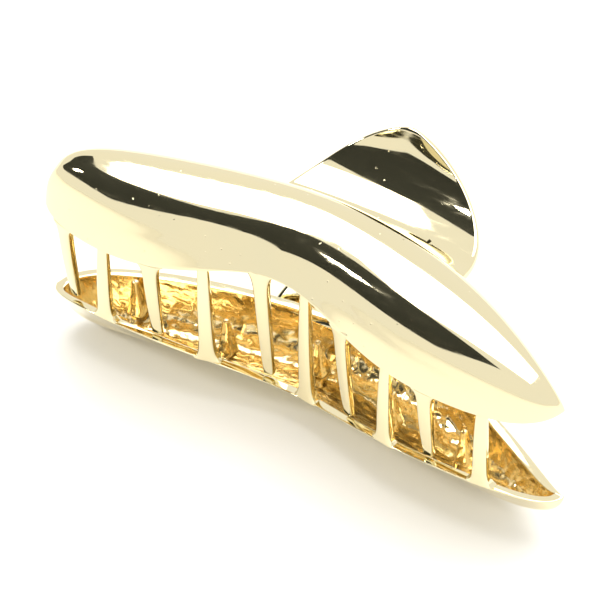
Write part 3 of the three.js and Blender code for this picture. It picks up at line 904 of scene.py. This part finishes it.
class CLIP_OT_pin(Operator):
    """Turn the hinge pin with its two domed heads"""

    bl_idname = "claw_clip.pin"
    bl_label = "Turn Hinge Pin"

    def execute(self, context):
        h = context.scene.claw_clip_hinge
        head = hinge_places(h)[3]
        radius = h.pin_radius + h.head_lip
        dome = []
        for turn in np.linspace(0, 0.5 * math.pi, 9):
            flat = 0.35 + 0.65 * math.sin(turn)
            out = head + h.head_thickness * lerp(0.35, 1, math.cos(turn))
            dome.append((out, radius * flat if turn else 0))
        bevel = mm(0.08)
        right = dome + [(head + bevel, radius), (head, radius - bevel), (head, h.pin_radius)]
        left = [(-x, r) for x, r in reversed(right)]
        mesh = turned_mesh("hinge_pin_turned", right + left, 56)
        mesh.materials.append(plating(turned_plate, "gold_plate_turned"))
        mesh.transform(Matrix.Translation(PIN))
        place(mesh, LOWER, ["hinge_pin"])
        return {"FINISHED"}


class CLIP_OT_spring(Operator):
    """Wind the torsion spring round the pin, with a leg under each lever"""

    bl_idname = "claw_clip.spring"
    bl_label = "Wind Spring"

    def execute(self, context):
        scene = context.scene
        s, l, h = scene.claw_clip_shell, scene.claw_clip_lever, scene.claw_clip_hinge
        path = spring_path(s, l, h)
        line = bpy.data.meshes.new("torsion_spring_wire")
        line.from_pydata(path.tolist(), [(i, i + 1) for i in range(len(path) - 1)], [])
        wire = run_group(wire_group(), line, {
            "Radius": h.wire_radius, "Sides": 20, "Finish": plating(drawn_wire, "spring_steel_drawn")})
        wire.name = "torsion_spring_wire"
        wire.polygons.foreach_set("use_smooth", [True] * len(wire.polygons))
        wire.transform(Matrix.Translation(PIN))
        piece = place(wire, None, ["torsion_spring"])
        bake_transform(piece)
        return {"FINISHED"}


SQUARE = [(-1, -1), (1, -1), (1, 1), (-1, 1)]
FLOOR_REACH = 3.0


def card(name, centre, facing, width, height, material):
    """A flat studio card at a point, its face towards another point."""
    turn = (Vector(facing) - Vector(centre)).to_track_quat("Z", "Y").to_matrix().to_4x4()
    mesh = bpy.data.meshes.new(name)
    mesh.from_pydata([(x * width / 2, y * height / 2, 0) for x, y in SQUARE], [], [(0, 1, 2, 3)])
    mesh.transform(Matrix.Translation(centre) @ turn)
    mesh.materials.append(material)
    board = bpy.data.objects.new(name, mesh)
    bpy.context.scene.collection.objects.link(board)
    board.visible_camera = False
    board.visible_shadow = False
    return board


def bearing(azimuth, elevation):
    """Unit vector towards a direction, in degrees; azimuth 0 is the side of the teeth."""
    a, e = math.radians(azimuth), math.radians(elevation)
    return Vector((math.sin(a) * math.cos(e), -math.cos(a) * math.cos(e), math.sin(e)))


def softbox(name, direction, distance, width, height, power):
    """An area light that faces the clip."""
    data = bpy.data.lights.new(name, "AREA")
    data.shape = "RECTANGLE"
    data.size, data.size_y = width, height
    data.energy = power
    lamp = bpy.data.objects.new(name, data)
    bpy.context.scene.collection.objects.link(lamp)
    lamp.location = PIN + direction * distance
    lamp.rotation_mode = "QUATERNION"
    lamp.rotation_quaternion = (-direction).to_track_quat("-Z", "Y")
    return lamp


class CLIP_OT_stage(Operator):
    """Set the floor, the soft light and the camera"""

    bl_idname = "claw_clip.stage"
    bl_label = "Set Stage"

    def execute(self, context):
        scene = context.scene
        p = scene.claw_clip_stage
        floor_paint = painted_card("studio_floor_matt", "#f7f5f0", 0.6)
        black_paint = painted_card("studio_card_black", "#1b1f1c", 0.7)
        mesh = bpy.data.meshes.new("studio_floor")
        mesh.from_pydata([(x * FLOOR_REACH, y * FLOOR_REACH, 0) for x, y in SQUARE], [], [(0, 1, 2, 3)])
        mesh.materials.append(floor_paint)
        floor = bpy.data.objects.new("studio_floor", mesh)
        scene.collection.objects.link(floor)

        world = bpy.data.worlds.new("studio_surround")
        world.use_nodes = True
        world.node_tree.nodes["Background"].inputs["Color"].default_value = (1, 1, 1, 1)
        world.node_tree.nodes["Background"].inputs["Strength"].default_value = p.sky
        scene.world = world
        scene.view_settings.view_transform = "Standard"

        softbox("overhead_softbox", bearing(180, 75), 1.2, 1.2, 1.2, 14)

        data = bpy.data.cameras.new("clip_camera")
        data.lens, data.sensor_width = p.lens, 36
        data.clip_start, data.clip_end = 0.05, 20
        camera = bpy.data.objects.new("clip_camera", data)
        scene.collection.objects.link(camera)
        away = bearing(math.degrees(p.azimuth), math.degrees(p.elevation))
        aim = PIN + Vector(p.aim)
        camera.location = aim + away * p.distance
        camera.rotation_mode = "QUATERNION"
        level = (-away).to_track_quat("-Z", "Y")
        camera.rotation_quaternion = level @ Matrix.Rotation(p.roll, 4, "Z").to_quaternion()
        scene.camera = camera

        # A black card over the front left gives the polished ridge its dark band; the small lamp in front
        # of it gives the streak
        card("black_card", PIN + bearing(-58, 43) * 1.0, PIN, 1.4, 0.85, black_paint)
        softbox("streak_lamp", bearing(-55, 41), 0.85, 0.12, 0.12, 1.5)
        return {"FINISHED"}


# ---- Panel and registration ------------------------------------------------------------------

OPERATORS = (CLIP_OT_stage, CLIP_OT_jaws, CLIP_OT_pin, CLIP_OT_spring)
SETTINGS = {
    "claw_clip_shell": ClipShellSizes,
    "claw_clip_tooth": ClipToothSizes,
    "claw_clip_lever": ClipLeverSizes,
    "claw_clip_hinge": ClipHingeSizes,
    "claw_clip_finish": ClipFinish,
    "claw_clip_stage": ClipStageSettings,
}


class CLIP_PT_sidebar(Panel):
    """Sizes, colours and building steps of the claw clip"""

    bl_idname = "CLIP_PT_sidebar"
    bl_label = "Claw Clip"
    bl_space_type = "VIEW_3D"
    bl_region_type = "UI"
    bl_category = "Claw Clip"

    def draw(self, context):
        for operator in OPERATORS:
            self.layout.operator(operator.bl_idname)
        for key, settings in SETTINGS.items():
            box = self.layout.box()
            for name in settings.__annotations__:
                box.prop(getattr(context.scene, key), name)


def register():
    for key, settings in SETTINGS.items():
        bpy.utils.register_class(settings)
        setattr(bpy.types.Scene, key, PointerProperty(type=settings))
    for operator in OPERATORS:
        bpy.utils.register_class(operator)
    bpy.utils.register_class(CLIP_PT_sidebar)


def unregister():
    bpy.utils.unregister_class(CLIP_PT_sidebar)
    for operator in reversed(OPERATORS):
        bpy.utils.unregister_class(operator)
    for key, settings in reversed(SETTINGS.items()):
        delattr(bpy.types.Scene, key)
        bpy.utils.unregister_class(settings)


def main():
    register()
    steps = bpy.ops.claw_clip
    for step in (steps.stage, steps.jaws, steps.pin, steps.spring):
        step()


if __name__ == "__main__":
    main()
